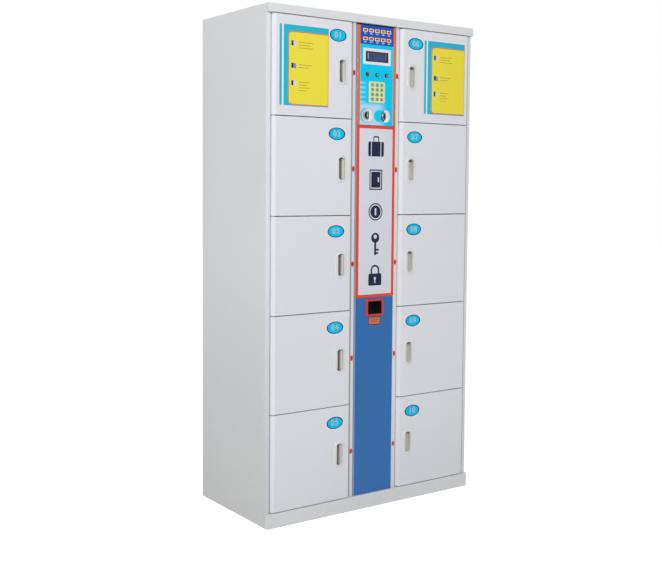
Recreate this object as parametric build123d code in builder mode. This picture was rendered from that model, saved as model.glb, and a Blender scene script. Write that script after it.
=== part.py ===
# Electronic coin locker: ten compartments in two columns beside a middle column that
# carries the coin console. Sheet steel cabinet, folded doors on hidden pivot pins.
# Millimetres. +Z is up, the doors face -Y, and the origin lies on the floor under the middle.
import os
from build123d import *

os.makedirs("parts", exist_ok=True)

# Cabinet
height = 1800
width = 930
depth = 470              # door faces to back panel
header_h = 30
plinth_h = 51.5
rows = 5
sheet = 1.2
bend = 2.5               # outside radius of a fold
post_set_back = 12.6     # door faces stand this far out from the posts
outer_post = 17          # width of an outer post's front
inner_post = 18          # width of an inner post's front
post_return = 11
middle_w = 180           # middle column between the inner posts
back_flange = 20
pull_rim = 2.5           # pull cups stand this far out from the doors
gland_rim = 1.0          # cable grommet stands this far out from the back

# Doors
door_gap = 3             # between two doors, one above the other
side_gap = 2             # between a door and the post beside it
door_sheet = 1.0
bevel_w = 10
bevel_d = 11
pan_d = 20
edge_bevel = 1.2
lip = 10
lock_lip = 26
pivot_in = 8             # pivot pin from the door's hinge edge
pivot_back = 9           # pivot pin from the door's face
pin_r = 2.5
pin_play = 0.05
pin_reach = 7            # pin's length inside a door
lug_t = 1.6
lug_r = 4.6
channel_w = 34           # stiffening channel inside a door
channel_d = 12
fit_play = 0.2           # play of a piece that is fitted into a cut-out

# Shelves
shelf_front = 24
shelf_edge = 15

# Pull cup
pull_w = 49
pull_h = 98
pull_drop = 5            # pull, bolt and door lamp lie this far under the door's middle
pull_in = 49.5           # pull's middle from the door's lock edge
pull_seat = 3            # the rim overlaps the door's cut-out by this much
rim_bevel = 1.8
scoop_w = 26
scoop_h = 80
scoop_d = 15
scoop_rise = 3           # depth of the straight mouth of the scoop
scoop_turn = -3          # where the flat floor turns into the rising arc
undercut = 4
pull_collar = 4          # collar that sits in the door's cut-out
cup_wall = 1.8

# Striker and lock
striker_t = 2
striker_in = 2           # striker's arm from the door's lock edge
striker_foot = 20
striker_h = 34
striker_arm = 30
striker_round = 6
bolt_back = 38           # bolt's middle from the door's face
bolt_w = 8
bolt_h = 10
bolt_nose = 1            # bolt's nose past the wall, drawn back
bolt_l = 39
bolt_head = 24
bolt_slant = 5
core_r = 3.5
bolt_play = 0.3
bolt_slot = 1.0
case_l = 40
case_d = 22
case_h = 60

# Red lamp beside each door
post_lamp_w = 11
post_lamp_h = 19
post_lamp_out = 1.0
post_lamp_in = 8
post_lamp_bevel = 0.8
post_lamp_side = 8.6     # lamp's middle from the post's inner edge

# Middle column: blue panel, console plate, notice panel
panel_back = 8.5         # blue panel's face from the door faces
panel_play = 0.4
panel_bevel = 3.5
panel_return = 14
panel_top_gap = 5.5
panel_bottom_gap = 1
plate_t = 1.5
plate_w = 176
console_h = 356
notice_w = 174
notice_h = 626
notice_gap = 1.5
console_cut_w = 148
console_cut_margin = 10

# Console fittings, measured down from the console plate's upper edge
bezel_w = 125
bezel_h = 58
bezel_drop = 110
bezel_out = 3
bezel_corner = 3
bezel_chamfer = 1.2
window_w = 106
window_h = 39
glass_play = 0.4
module_w = 116
module_h = 50
module_d = 12
lamp_cols = 5
lamp_rows = 2
lamp_pitch_x = 26.9
lamp_pitch_z = 30
lamp_drop = 32.5
lamp_w = 11
lamp_h = 8
lamp_out = 1.6
lamp_in = 9
lamp_corner = 2.5
lamp_bevel = 1.2
status_pitch = 43.3
status_drop = 174.5
status_flange_r = 7.5
status_body_r = 6
status_lens_r = 5
status_lens_h = 3.5
status_lens_bevel = 2
status_flange_t = 2
status_in = 14
keypad_w = 72
keypad_h = 75
keypad_drop = 236.8
keypad_t = 1.5
key_w = 13
key_h = 12
key_pitch_x = 21
key_pitch_z = 17.2
key_out = 1.2
key_round = 3
keypad_tail_w = 40
keypad_tail_h = 46
keypad_tail_d = 6
coin_x = 41
coin_drop = 321.9
coin_r = 25.5
coin_out = 5
coin_edge = 1
coin_land_r = 21
coin_neck_r = 19
slot_w = 3.2
slot_h = 36
button_r = 22
button_out = 4
button_cap_r = 15
button_cap_out = 7
button_play = 0.15
button_stem_r = 6
button_travel = 4
button_neck_r = 18
button_neck = 14
button_seat = 8          # shoulder that stops the button, behind the plate's face
button_stop = 0.2
button_clip_r = 9
button_clip_t = 2
button_bevel = 2.5
ring_land = 2
ring_edge = 1

# Coin return cup
cup_frame_w = 80
cup_frame_h = 61
cup_frame_drop = 38.6    # frame's middle below the notice panel
cup_frame_t = 3.5
cup_w = 62
cup_h = 47
cup_d = 42
cup_round = 5

# Parts inside the middle column
validator_w = 64
validator_d = 96
validator_h = 100
validator_front = 20
validator_shift = 8      # validator's middle from the coin entry's
validator_over = 38      # validator reaches this far over the coin entry's middle
chute_w = 26
chute_d = 44
chute_wall = 1
cash_chute_x = -45
cash_chute_y = 82
return_chute_x = -14
return_chute_y = 37
return_chute_w = 26
return_chute_d = 18
box_w = 120
box_d = 200
box_h = 170
box_lid = 1.5
box_front = 40
psu_w = 110
psu_h = 190
psu_d = 46
psu_rise = 368.5         # middle above the plinth
psu_ear_w = 60
psu_ear = 12
board_w = 120
board_h = 190
board_drop = 320         # middle below the roof
board_t = 1.6
standoff_r = 3.5
standoff_l = 12
terminal_d = 10
relay_w = 40
relay_h = 60

# Back panel
vent_rows = 8
vent_cols = 2
vent_w = 60
vent_h = 6
vent_pitch_x = 76
vent_pitch_z = 16
vent_drop = 110          # vents and fixing holes, below the roof
fixing_x = 380
fixing_drop = 100
fixing_r = 4.5
gland_x = 0
gland_rise = 58.5        # above the plinth
gland_r = 11
gland_bore_r = 6
gland_flange_r = 15
gland_inner = 2.5

# Places worked out from the sizes
face_y = (pull_rim - depth - gland_rim) / 2
middle_half = middle_w / 2
wall_x = middle_half + inner_post
post_x = width / 2 - outer_post
door_in = wall_x + side_gap
door_out = post_x - side_gap
door_w = door_out - door_in
door_h = (height - header_h - plinth_h - (rows + 1) * door_gap) / rows
door_pitch = door_h + door_gap
header_z = height - header_h
side_inner = width / 2 - sheet
back_y = depth - sheet
pivot_x = door_out - pivot_in
pull_x = door_in + pull_in
striker_x = door_in + striker_in
post_lamp_x = middle_half + post_lamp_side
panel_high = header_z - panel_top_gap
console_low = panel_high - console_h
notice_low = console_low - notice_gap - notice_h
bezel_z = panel_high - bezel_drop
lamp_z = panel_high - lamp_drop
status_z = panel_high - status_drop
keypad_z = panel_high - keypad_drop
coin_z = panel_high - coin_drop
cup_frame_z = notice_low - cup_frame_drop
vent_z = height - vent_drop
fixing_z = height - fixing_drop
board_z = height - board_drop
psu_z = plinth_h + psu_rise
gland_z = plinth_h + gland_rise


def back(d):
    """The Y of a point d behind the door faces."""
    return face_y + d


def door_bottom(row):
    """Height of the lower edge of a door; row 0 is the top row."""
    return plinth_h + door_gap + (rows - 1 - row) * door_pitch


def gap_middle(line):
    """Height of the middle of a gap between doors; line 0 lies under the header."""
    return header_z - door_gap / 2 - line * door_pitch


def pull_middle(row):
    return door_bottom(row) + door_h / 2 - pull_drop


def write(piece, name):
    """Labels a finished piece and writes its STEP file."""
    piece.part.label = name
    export_step(piece.part, f"parts/{name}.step")


def mirrored(piece):
    """The same piece on the other side of the middle."""
    with BuildPart() as other:
        mirror(objects=piece.part, about=Plane.YZ)
    return other


# Side panel: one sheet from the floor to the top cover, folded to the outer post in
# front and to a flange behind, with the post cut away where the plinth stands
with BuildPart() as right_side_panel:
    with BuildSketch():
        with BuildLine():
            FilletPolyline(
                (post_x, back(post_set_back + post_return)),
                (post_x, back(post_set_back)),
                (width / 2, back(post_set_back)),
                (width / 2, back(back_y)),
                (width / 2 - back_flange, back(back_y)),
                radius=bend,
            )
            offset(amount=sheet, side=Side.LEFT)
        make_face()
    extrude(amount=height - sheet)
    with BuildSketch():
        with Locations(((post_x + side_inner) / 2, back(post_set_back + post_return / 2))):
            Rectangle(side_inner - post_x, post_return + 2 * bend)
    extrude(amount=plinth_h, mode=Mode.SUBTRACT)
write(right_side_panel, "right_side_panel")
write(mirrored(right_side_panel), "left_side_panel")

# Wall between the compartments and the middle column: its front edge is folded to the
# inner post, with a hole for each red lamp, and each lock bolt comes through a hole
bolt_spots = [(back(bolt_back), pull_middle(row)) for row in range(rows)]
lamp_spots = [(post_lamp_x, pull_middle(row)) for row in range(rows)]
with BuildPart() as right_column_wall:
    with BuildSketch(Plane.XY.offset(plinth_h)):
        with BuildLine():
            FilletPolyline(
                (wall_x - back_flange, back(back_y)),
                (wall_x, back(back_y)),
                (wall_x, back(post_set_back)),
                (middle_half, back(post_set_back)),
                (middle_half, back(post_set_back + panel_return)),
                radius=bend,
            )
            offset(amount=sheet, side=Side.RIGHT)
        make_face()
    extrude(amount=height - sheet - plinth_h)
    with BuildSketch(Plane.YZ.offset(wall_x)):
        with Locations(*bolt_spots):
            Rectangle(bolt_w + 2 * bolt_slot, bolt_h + 2 * bolt_slot)
    extrude(amount=-2 * sheet, mode=Mode.SUBTRACT)
    with BuildSketch(Plane.XZ.offset(-back(post_set_back))):
        with Locations(*lamp_spots):
            SlotOverall(post_lamp_h + 2 * fit_play, post_lamp_w + 2 * fit_play, rotation=90)
    extrude(amount=-2 * sheet, mode=Mode.SUBTRACT)
write(right_column_wall, "right_column_wall")
write(mirrored(right_column_wall), "left_column_wall")

# Back panel: vent slots behind the electronics, two wall fixing holes, the cable inlet
with BuildPart() as back_panel:
    with BuildSketch(Plane.XZ.offset(-back(depth))):
        with Locations((0, (height - sheet) / 2)):
            Rectangle(width - 2 * sheet, height - sheet)
        with Locations((0, vent_z)):
            with GridLocations(vent_pitch_x, vent_pitch_z, vent_cols, vent_rows):
                SlotOverall(vent_w, vent_h, mode=Mode.SUBTRACT)
        with Locations((-fixing_x, fixing_z), (fixing_x, fixing_z)):
            Circle(fixing_r, mode=Mode.SUBTRACT)
        with Locations((gland_x, gland_z)):
            Circle(gland_r + fit_play, mode=Mode.SUBTRACT)
    extrude(amount=sheet)
write(back_panel, "back_panel")

# Top cover: the roof sheet and the header band folded down in front of the posts
with BuildPart() as top_cover:
    with BuildSketch(Plane.XY.offset(header_z)):
        with Locations((0, back(post_set_back / 2))):
            Rectangle(width, post_set_back)
    extrude(amount=header_h)
    fillet(top_cover.faces().sort_by(Axis.Y)[0].edges(), radius=bend)
    offset(amount=-sheet, openings=top_cover.faces().sort_by(Axis.Y)[-1])
    with BuildSketch(Plane.XY.offset(height)):
        with Locations((0, back((post_set_back + depth) / 2))):
            Rectangle(width, depth - post_set_back)
    extrude(amount=-sheet)
write(top_cover, "top_cover")

# Plinth: a tray turned upside down, the floor of the lowest compartments, whose front
# band stands out as far as the header does
def plinth_block(inset):
    """The plinth's outer form, or with an inset the hollow in it."""
    with BuildPart() as block:
        with BuildSketch():
            with Locations((0, back(post_set_back / 2))):
                Rectangle(width - 2 * inset, post_set_back - 2 * inset)
            with Locations((0, back((post_set_back + back_y - sheet) / 2 - inset))):
                Rectangle(2 * (side_inner - inset), back_y - sheet - post_set_back)
        extrude(amount=plinth_h - inset)
        front = block.faces().sort_by(Axis.Y)[0]
        fillet(front.edges().sort_by(Axis.Z)[1:], radius=bend - inset)
        fillet(block.edges().filter_by(Axis.Z).sort_by(Axis.Y)[-2:], radius=bend - inset)
    return block.part


with BuildPart() as plinth_base:
    add(plinth_block(0))
    add(plinth_block(sheet), mode=Mode.SUBTRACT)
write(plinth_base, "plinth_base")

# Shelves: trays turned upside down between the side panels and the column walls
shelf_w = side_inner - wall_x
shelf_l = back_y - sheet - shelf_front
with BuildPart() as shelf:
    Box(shelf_w, shelf_l, shelf_edge, align=(Align.CENTER, Align.MIN, Align.MAX))
    fillet(shelf.edges().filter_by(Axis.Z).sort_by(Axis.Y)[-2:], radius=bend)
    offset(amount=-sheet, openings=shelf.faces().sort_by(Axis.Z)[0])
shelf_spots = [
    (side * (wall_x + shelf_w / 2), back(shelf_front), gap_middle(line) + sheet / 2)
    for side in (-1, 1)
    for line in range(1, rows)
]
with BuildPart() as shelves:
    with Locations(*shelf_spots):
        add(shelf.part)
write(shelves, "shelves")

# Hinge lugs: small plates in the gaps between the doors, welded to the outer posts
with BuildPart() as lug:
    with BuildSketch(Plane.XY.offset(-lug_t / 2)):
        with Locations((pivot_x, back(pivot_back))):
            Circle(lug_r)
        with Locations((post_x - lug_t / 2, back(post_set_back + post_return / 2))):
            Rectangle(lug_t, post_return - 2 * fit_play)
        make_hull()
        with Locations((pivot_x, back(pivot_back))):
            Circle(pin_r, mode=Mode.SUBTRACT)
    extrude(amount=lug_t)
lug_heights = [gap_middle(line) for line in range(rows + 1)]
with BuildPart() as hinge_lugs:
    for lug_side in (lug, mirrored(lug)):
        with Locations(*[(0, 0, z) for z in lug_heights]):
            add(lug_side.part)
write(hinge_lugs, "hinge_lugs")

# Pivot pins: held in the lugs, each reaching into the door above and the door below
with BuildPart() as hinge_pins:
    for line in range(rows + 1):
        top = gap_middle(line) + (door_gap / 2 + pin_reach if line > 0 else lug_t / 2)
        bottom = gap_middle(line) - (door_gap / 2 + pin_reach if line < rows else lug_t / 2)
        with Locations(*[(side * pivot_x, back(pivot_back), bottom) for side in (-1, 1)]):
            Cylinder(pin_r, top - bottom, align=(Align.CENTER, Align.CENTER, Align.MIN))
write(hinge_pins, "hinge_pins")

# Door: a pan folded from one sheet, its upright edges bevelled, with a rim behind, a
# stiffening channel and the striker plate that the bolt goes through
striker_z = door_h / 2 - pull_drop
with BuildPart() as right_door:
    with BuildSketch() as pan_outline:
        with BuildLine():
            Polyline(
                (door_in, back(pan_d)),
                (door_in, back(bevel_d)),
                (door_in + bevel_w, back(0)),
                (door_out - bevel_w, back(0)),
                (door_out, back(bevel_d)),
                (door_out, back(pan_d)),
                close=True,
            )
        make_face()
        fillet(pan_outline.vertices().sort_by(Axis.Y)[:-2], radius=bend)
    extrude(amount=door_h)
    ends = right_door.faces().sort_by(Axis.Z)
    for end in (ends[0], ends[-1]):
        chamfer(end.edges().sort_by(Axis.Y)[:-1], length=edge_bevel)
    offset(amount=-door_sheet, openings=right_door.faces().sort_by(Axis.Y)[-1])
    with BuildSketch(Plane.XZ.offset(-back(pan_d))):
        with Locations(((door_in + door_out) / 2, door_h / 2)):
            Rectangle(door_w - door_sheet, door_h - door_sheet)
        with Locations((door_in + (lock_lip + door_w - lip) / 2, door_h / 2)):
            Rectangle(door_w - lock_lip - lip, door_h - 2 * lip, mode=Mode.SUBTRACT)
    extrude(amount=door_sheet)
    with BuildSketch(Plane.XY.offset(lip)):
        with Locations(((door_in + door_out) / 2, back(door_sheet + channel_d / 2))):
            Rectangle(channel_w, channel_d)
        with Locations(((door_in + door_out) / 2, back(channel_d / 2))):
            Rectangle(channel_w - 2 * door_sheet, channel_d, mode=Mode.SUBTRACT)
    extrude(amount=door_h - 2 * lip)
    with BuildSketch(Plane.XZ.offset(-back(pan_d))):
        with Locations((striker_x, striker_z)):
            Rectangle(striker_foot, striker_h, align=(Align.MIN, Align.CENTER))
    extrude(amount=-striker_t)
    with BuildSketch(Plane.YZ.offset(striker_x)) as arm:
        with Locations((back(pan_d), striker_z)):
            Rectangle(striker_arm, striker_h, align=(Align.MIN, Align.CENTER))
        fillet(arm.vertices().sort_by(Axis.Y)[-2:], radius=striker_round)
        with Locations((back(bolt_back), striker_z)):
            Rectangle(bolt_w + 2 * bolt_slot, bolt_h + 2 * bolt_slot, mode=Mode.SUBTRACT)
    extrude(amount=striker_t)
    with BuildSketch(Plane.XZ.offset(-face_y)):
        with Locations((pull_x, door_h / 2 - pull_drop)):
            SlotOverall(pull_h - 2 * pull_seat, pull_w - 2 * pull_seat, rotation=90)
    extrude(amount=-2 * door_sheet, mode=Mode.SUBTRACT)
    with Locations((pivot_x, back(pivot_back), 0)):
        Cylinder(
            pin_r + pin_play,
            door_h,
            align=(Align.CENTER, Align.CENTER, Align.MIN),
            mode=Mode.SUBTRACT,
        )
left_door = mirrored(right_door)

# Scoop of the pull cup: undercut on one side for the fingertips, its floor rising in an
# arc to the other side, rounded at both ends
with BuildPart() as scoop:
    with BuildSketch(Plane.XY.offset(-scoop_h / 2)):
        with BuildLine():
            Polyline(
                (scoop_w / 2, scoop_rise),
                (scoop_w / 2, -2 * pull_rim),
                (-scoop_w / 2, -2 * pull_rim),
                (-scoop_w / 2, scoop_rise),
                (-scoop_w / 2 - undercut, scoop_rise + undercut),
                (-scoop_w / 2 - undercut, scoop_d),
                (scoop_turn, scoop_d),
            )
            TangentArc((scoop_turn, scoop_d), (scoop_w / 2, scoop_rise), tangent=(1, 0))
        make_face()
    extrude(amount=scoop_h)
    with BuildSketch(Plane.XZ):
        SlotOverall(scoop_h, scoop_w + 2 * undercut, rotation=90)
    extrude(amount=2 * scoop_d, both=True, mode=Mode.INTERSECT)

# Pull cup: an oval moulding with a bevelled rim, clipped into the cut-out of the door
with BuildPart() as pull:
    with BuildSketch(Plane.XZ):
        SlotOverall(pull_h, pull_w, rotation=90)
    extrude(amount=pull_rim)
    chamfer(pull.faces().sort_by(Axis.Y)[0].edges(), length=rim_bevel)
    with BuildSketch(Plane.XZ):
        SlotOverall(
            pull_h - 2 * (pull_seat + fit_play),
            pull_w - 2 * (pull_seat + fit_play),
            rotation=90,
        )
    extrude(amount=-pull_collar)
    with BuildSketch(Plane.XZ):
        SlotOverall(
            scoop_h + 2 * cup_wall, scoop_w + 2 * (undercut + cup_wall), rotation=90
        )
    extrude(amount=-scoop_d - cup_wall)
    add(scoop.part, mode=Mode.SUBTRACT)

# Lock bolt: square nose with one slanted face, and the round core of its solenoid
bolt_start = wall_x + bolt_nose - bolt_l
with BuildPart() as right_bolt:
    with BuildSketch(Plane.YZ.offset(wall_x + bolt_nose)):
        with Locations((back(bolt_back), 0)):
            Rectangle(bolt_w, bolt_h)
    extrude(amount=-bolt_head)
    slant = right_bolt.faces().sort_by(Axis.X)[-1].edges().sort_by(Axis.Y)[0]
    chamfer(slant, length=bolt_slant)
    with BuildSketch(Plane.YZ.offset(bolt_start)):
        with Locations((back(bolt_back), 0)):
            Circle(core_r)
    extrude(amount=bolt_l - bolt_head)
left_bolt = mirrored(right_bolt)

# The ten doors, with a pull and a bolt each, numbered down the left column, then the right
sides = (
    (-1, 1, left_door, left_bolt),
    (1, rows + 1, right_door, right_bolt),
)
for side, first, door_master, bolt_master in sides:
    for row in range(rows):
        number = f"{first + row:02d}"
        with BuildPart() as door:
            with Locations((0, 0, door_bottom(row))):
                add(door_master.part)
        write(door, f"door_{number}")
        with BuildPart() as door_pull:
            with Locations((side * pull_x, face_y, pull_middle(row))):
                add(pull.part)
        write(door_pull, f"pull_{number}")
        with BuildPart() as bolt:
            with Locations((0, 0, pull_middle(row))):
                add(bolt_master.part)
        write(bolt, f"latch_{number}")

# Lock cases: screwed to the column walls, each with the channel its bolt slides in
case_x = wall_x - sheet
with BuildPart() as lock_case:
    with BuildSketch(Plane.YZ.offset(case_x)):
        with Locations((back(bolt_back), 0)):
            Rectangle(case_d, case_h)
            Rectangle(bolt_w + 2 * bolt_play, bolt_h + 2 * bolt_play, mode=Mode.SUBTRACT)
    extrude(amount=-case_l)
with BuildPart() as lock_cases:
    for case_side in (lock_case, mirrored(lock_case)):
        with Locations(*[(0, 0, pull_middle(row)) for row in range(rows)]):
            add(case_side.part)
write(lock_cases, "lock_cases")

# Red lamps: oval lenses in the inner posts, level with the pulls
with BuildPart() as door_lamp:
    with BuildSketch(Plane.XZ.offset(-back(post_set_back) + post_lamp_out)):
        SlotOverall(post_lamp_h, post_lamp_w, rotation=90)
    extrude(amount=-post_lamp_out - sheet - post_lamp_in)
    chamfer(door_lamp.faces().sort_by(Axis.Y)[0].edges(), length=post_lamp_bevel)
with BuildPart() as door_lamps:
    with Locations(*[(side * x, 0, z) for side in (-1, 1) for x, z in lamp_spots]):
        add(door_lamp.part)
write(door_lamps, "door_lamps")

# Blue middle panel: folded sheet between the inner posts, bevelled at both edges, cut
# out behind the console plate and for the coin return cup
panel_half = middle_half - panel_play
panel_low = plinth_h + panel_bottom_gap
with BuildPart() as service_panel:
    with BuildSketch(Plane.XY.offset(panel_low)):
        with BuildLine():
            FilletPolyline(
                (-panel_half, back(post_set_back + panel_return)),
                (-panel_half, back(post_set_back)),
                (-panel_half + panel_bevel, back(panel_back)),
                (panel_half - panel_bevel, back(panel_back)),
                (panel_half, back(post_set_back)),
                (panel_half, back(post_set_back + panel_return)),
                radius=bend,
            )
            offset(amount=sheet, side=Side.LEFT)
        make_face()
    extrude(amount=panel_high - panel_low)
    with BuildSketch(Plane.XZ.offset(-back(panel_back))):
        with Locations((0, console_low + console_h / 2)):
            Rectangle(console_cut_w, console_h - 2 * console_cut_margin)
        with Locations((0, cup_frame_z)):
            Rectangle(cup_w + 2 * sheet + 2 * fit_play, cup_h + 2 * sheet + 2 * fit_play)
    extrude(amount=-2 * sheet, mode=Mode.SUBTRACT)
write(service_panel, "service_panel")

# Console plate: stands on the blue panel and carries everything the user works
lamp_grid = [
    ((column - (lamp_cols - 1) / 2) * lamp_pitch_x, lamp_z - (line - 0.5) * lamp_pitch_z)
    for line in range(lamp_rows)
    for column in range(lamp_cols)
]
status_spots = [(-status_pitch, status_z), (0, status_z), (status_pitch, status_z)]
plate_front = panel_back - plate_t
with BuildPart() as console_panel:
    with BuildSketch(Plane.XZ.offset(-back(panel_back))):
        with Locations((0, console_low + console_h / 2)):
            Rectangle(plate_w, console_h)
        with Locations((0, bezel_z)):
            Rectangle(window_w + 2 * glass_play, window_h + 2 * glass_play, mode=Mode.SUBTRACT)
        with Locations(*lamp_grid):
            RectangleRounded(
                lamp_w + 2 * fit_play, lamp_h + 2 * fit_play, lamp_corner, mode=Mode.SUBTRACT
            )
        with Locations(*status_spots):
            Circle(status_body_r + fit_play, mode=Mode.SUBTRACT)
        with Locations((0, keypad_z)):
            Rectangle(
                keypad_tail_w + 2 * fit_play, keypad_tail_h + 2 * fit_play, mode=Mode.SUBTRACT
            )
        with Locations((-coin_x, coin_z)):
            Circle(coin_neck_r + fit_play, mode=Mode.SUBTRACT)
        with Locations((coin_x, coin_z)):
            Circle(button_neck_r + fit_play, mode=Mode.SUBTRACT)
    extrude(amount=plate_t)
write(console_panel, "console_panel")

# Display: a bevelled bezel on the plate, and behind it the module with its glass
with BuildPart() as display_bezel:
    with BuildSketch(Plane.XZ.offset(-back(plate_front))):
        with Locations((0, bezel_z)):
            RectangleRounded(bezel_w, bezel_h, bezel_corner)
            Rectangle(window_w, window_h, mode=Mode.SUBTRACT)
    extrude(amount=bezel_out)
    chamfer(display_bezel.faces().sort_by(Axis.Y)[0].edges(), length=bezel_chamfer)
write(display_bezel, "display_bezel")
with BuildPart() as display_module:
    with BuildSketch(Plane.XZ.offset(-back(panel_back))):
        with Locations((0, bezel_z)):
            Rectangle(module_w, module_h)
    extrude(amount=-module_d)
    with BuildSketch(Plane.XZ.offset(-back(panel_back))):
        with Locations((0, bezel_z)):
            Rectangle(window_w, window_h)
    extrude(amount=plate_t - glass_play)
write(display_module, "display_module")

# Lock lamps: one lens for each door, in two rows
with BuildPart() as console_lamp:
    with BuildSketch(Plane.XZ.offset(-back(plate_front - lamp_out))):
        RectangleRounded(lamp_w, lamp_h, lamp_corner)
    extrude(amount=-lamp_out - plate_t - lamp_in)
    chamfer(console_lamp.faces().sort_by(Axis.Y)[0].edges(), length=lamp_bevel)
with BuildPart() as console_lamps:
    with Locations(*[(x, 0, z) for x, z in lamp_grid]):
        add(console_lamp.part)
write(console_lamps, "console_lamps")

# Status lamps: bevelled lens on a round flange
with BuildPart() as status_lamp:
    with BuildSketch():
        with BuildLine():
            Polyline(
                (0, -status_flange_t - status_lens_h),
                (status_lens_r - status_lens_bevel, -status_flange_t - status_lens_h),
                (status_lens_r, -status_flange_t - status_lens_h + status_lens_bevel),
                (status_lens_r, -status_flange_t),
                (status_flange_r, -status_flange_t),
                (status_flange_r, 0),
                (status_body_r, 0),
                (status_body_r, plate_t + status_in),
                (0, plate_t + status_in),
                close=True,
            )
        make_face()
    revolve(axis=Axis.Y)
with BuildPart() as status_lamps:
    with Locations(*[(x, back(plate_front), z) for x, z in status_spots]):
        add(status_lamp.part)
write(status_lamps, "status_lamps")

# Keypad: one sealed moulding, its twelve keys stand up from the pad
with BuildPart() as keypad:
    with BuildSketch(Plane.XZ.offset(-back(plate_front))):
        with Locations((0, keypad_z)):
            RectangleRounded(keypad_w, keypad_h, key_round)
    extrude(amount=keypad_t)
    with BuildSketch(Plane.XZ.offset(-back(plate_front - keypad_t))):
        with Locations((0, keypad_z)):
            with GridLocations(key_pitch_x, key_pitch_z, 3, 4):
                RectangleRounded(key_w, key_h, key_round)
    extrude(amount=key_out)
    with BuildSketch(Plane.XZ.offset(-back(plate_front))):
        with Locations((0, keypad_z)):
            Rectangle(keypad_tail_w, keypad_tail_h)
    extrude(amount=-plate_t - keypad_tail_d)
write(keypad, "keypad")

# Coin entry: turned flange with a bevelled edge and an upright slot right through to the validator
coin_neck = validator_front - plate_front
with BuildPart() as coin_entry:
    with BuildSketch():
        with BuildLine():
            Polyline(
                (0, -coin_out),
                (coin_land_r, -coin_out),
                (coin_r, -coin_edge),
                (coin_r, 0),
                (coin_neck_r, 0),
                (coin_neck_r, coin_neck),
                (0, coin_neck),
                close=True,
            )
        make_face()
    revolve(axis=Axis.Y)
    with BuildSketch(Plane.XZ):
        Rectangle(slot_w, slot_h)
    extrude(amount=coin_neck + coin_out, both=True, mode=Mode.SUBTRACT)
with BuildPart() as coin_slot_plate:
    with Locations((-coin_x, back(plate_front), coin_z)):
        add(coin_entry.part)
write(coin_slot_plate, "coin_slot_plate")

# Return button: a fixed ring, and the button that slides in it as far as a shoulder and
# is held by a clip behind the ring's neck
with BuildPart() as ring:
    with BuildSketch():
        with BuildLine():
            Polyline(
                (button_cap_r + button_play, -button_out),
                (button_cap_r + ring_land, -button_out),
                (button_r, -ring_edge),
                (button_r, 0),
                (button_neck_r, 0),
                (button_neck_r, button_neck),
                (button_stem_r + button_play, button_neck),
                (button_stem_r + button_play, button_seat),
                (button_cap_r + button_play, button_seat),
                close=True,
            )
        make_face()
    revolve(axis=Axis.Y)
with BuildPart() as return_button_ring:
    with Locations((coin_x, back(plate_front), coin_z)):
        add(ring.part)
write(return_button_ring, "return_button_ring")
cap_back = button_seat - button_travel - button_stop
clip_front = button_neck + fit_play
with BuildPart() as button:
    with BuildSketch():
        with BuildLine():
            Polyline(
                (0, -button_cap_out),
                (button_cap_r - button_bevel, -button_cap_out),
                (button_cap_r, button_bevel - button_cap_out),
                (button_cap_r, cap_back),
                (button_stem_r, cap_back),
                (button_stem_r, clip_front),
                (button_clip_r, clip_front),
                (button_clip_r, clip_front + button_clip_t),
                (0, clip_front + button_clip_t),
                close=True,
            )
        make_face()
    revolve(axis=Axis.Y)
with BuildPart() as coin_return_button:
    with Locations((coin_x, back(plate_front), coin_z)):
        add(button.part)
write(coin_return_button, "coin_return_button")

# Notice panel: printed plate below the console
with BuildPart() as notice_panel:
    with BuildSketch(Plane.XZ.offset(-back(panel_back))):
        with Locations((0, notice_low + notice_h / 2)):
            RectangleRounded(notice_w, notice_h, bend)
    extrude(amount=plate_t)
write(notice_panel, "notice_panel")

# Coin return cup: frame on the blue panel, pocket behind it with a rounded back, and a
# slot in its roof where the return chute ends
with BuildPart() as coin_return_cup:
    with BuildSketch(Plane.XZ.offset(-back(panel_back))):
        with Locations((0, cup_frame_z)):
            Rectangle(cup_w + 2 * sheet, cup_h + 2 * sheet)
    extrude(amount=-cup_d)
    back_bottom = coin_return_cup.faces().sort_by(Axis.Y)[-1].edges().sort_by(Axis.Z)[0]
    fillet(back_bottom, radius=cup_round)
    offset(amount=-sheet, openings=coin_return_cup.faces().sort_by(Axis.Y)[0])
    with BuildSketch(Plane.XZ.offset(-back(panel_back))):
        with Locations((0, cup_frame_z)):
            RectangleRounded(cup_frame_w, cup_frame_h, bend)
            Rectangle(cup_w, cup_h, mode=Mode.SUBTRACT)
    extrude(amount=cup_frame_t)
    chamfer(coin_return_cup.faces().sort_by(Axis.Y)[0].outer_wire().edges(), length=sheet)
    with BuildSketch(Plane.XY.offset(cup_frame_z)):
        with Locations((return_chute_x, back(return_chute_y))):
            Rectangle(return_chute_w - 2 * chute_wall, return_chute_d - 2 * chute_wall)
    extrude(amount=cup_h, mode=Mode.SUBTRACT)
write(coin_return_cup, "coin_return_cup")

# Coin validator: block behind the coin entry
validator_x = -coin_x + validator_shift
validator_low = coin_z + validator_over - validator_h
with BuildPart() as coin_validator:
    with Locations((validator_x, back(validator_front), validator_low)):
        Box(
            validator_w,
            validator_d,
            validator_h,
            align=(Align.CENTER, Align.MIN, Align.MIN),
        )
    fillet(coin_validator.edges().filter_by(Axis.Z), radius=bend)
write(coin_validator, "coin_validator")

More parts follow.
